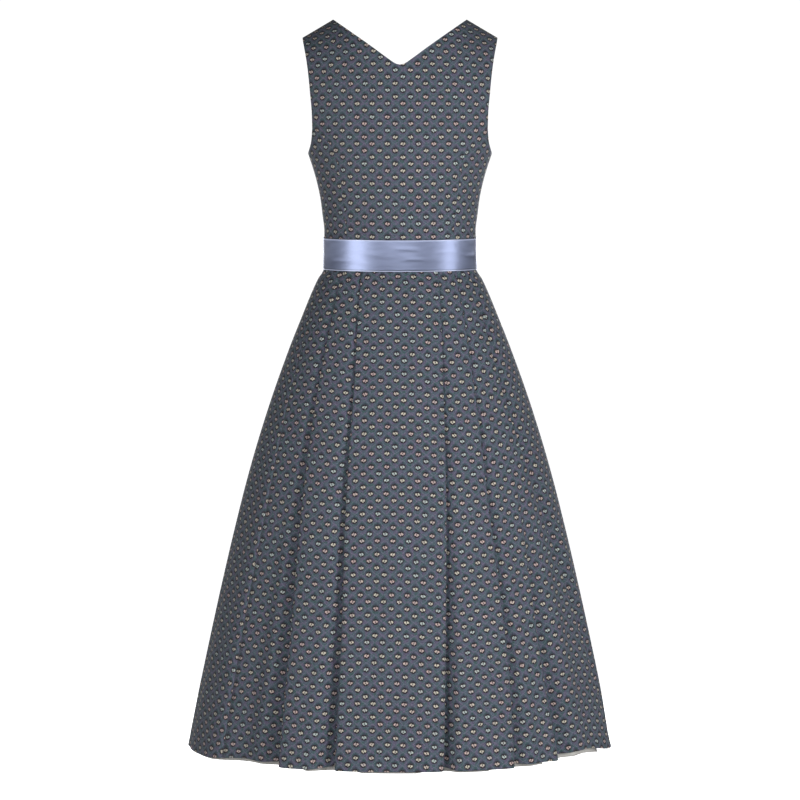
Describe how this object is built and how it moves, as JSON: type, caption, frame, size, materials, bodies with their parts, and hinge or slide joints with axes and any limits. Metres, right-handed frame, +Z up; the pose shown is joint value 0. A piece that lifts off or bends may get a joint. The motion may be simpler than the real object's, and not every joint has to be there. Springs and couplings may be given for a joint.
{
  "type": "dirndl dress",
  "caption": "Sleeveless dirndl in small dark print with a princess-seamed bodice, satin waist ribbon and long pleated lined skirt, holding its wearer's hollow shape.",
  "frame": {"origin": "midway between the two neck points at the top of the shoulders, where the wearer carries the dress", "axes": "+Z up, +Y towards the front of the dress, +X towards the wearer's right-hand side as seen from behind"},
  "size_m": [0.6814, 0.545, 1.1712],
  "materials": {
    "bodice_print": "matte printed cotton",
    "skirt_print": "matte printed cotton",
    "ribbon_satin": "satin",
    "lining_cloth": "matte plain weave"
  },
  "bodies": {
    "root": {"bodice_back": "bodice_print", "bodice_side_back_left": "bodice_print", "bodice_side_back_right": "bodice_print", "bodice_side_front_left": "bodice_print", "bodice_side_front_right": "bodice_print", "bodice_front_left": "bodice_print", "bodice_front_right": "bodice_print", "waist_ribbon": "ribbon_satin", "skirt_back": "skirt_print", "skirt_front_left": "skirt_print", "skirt_front_right": "skirt_print", "skirt_lining": "lining_cloth"}
  },
  "joints": []
}
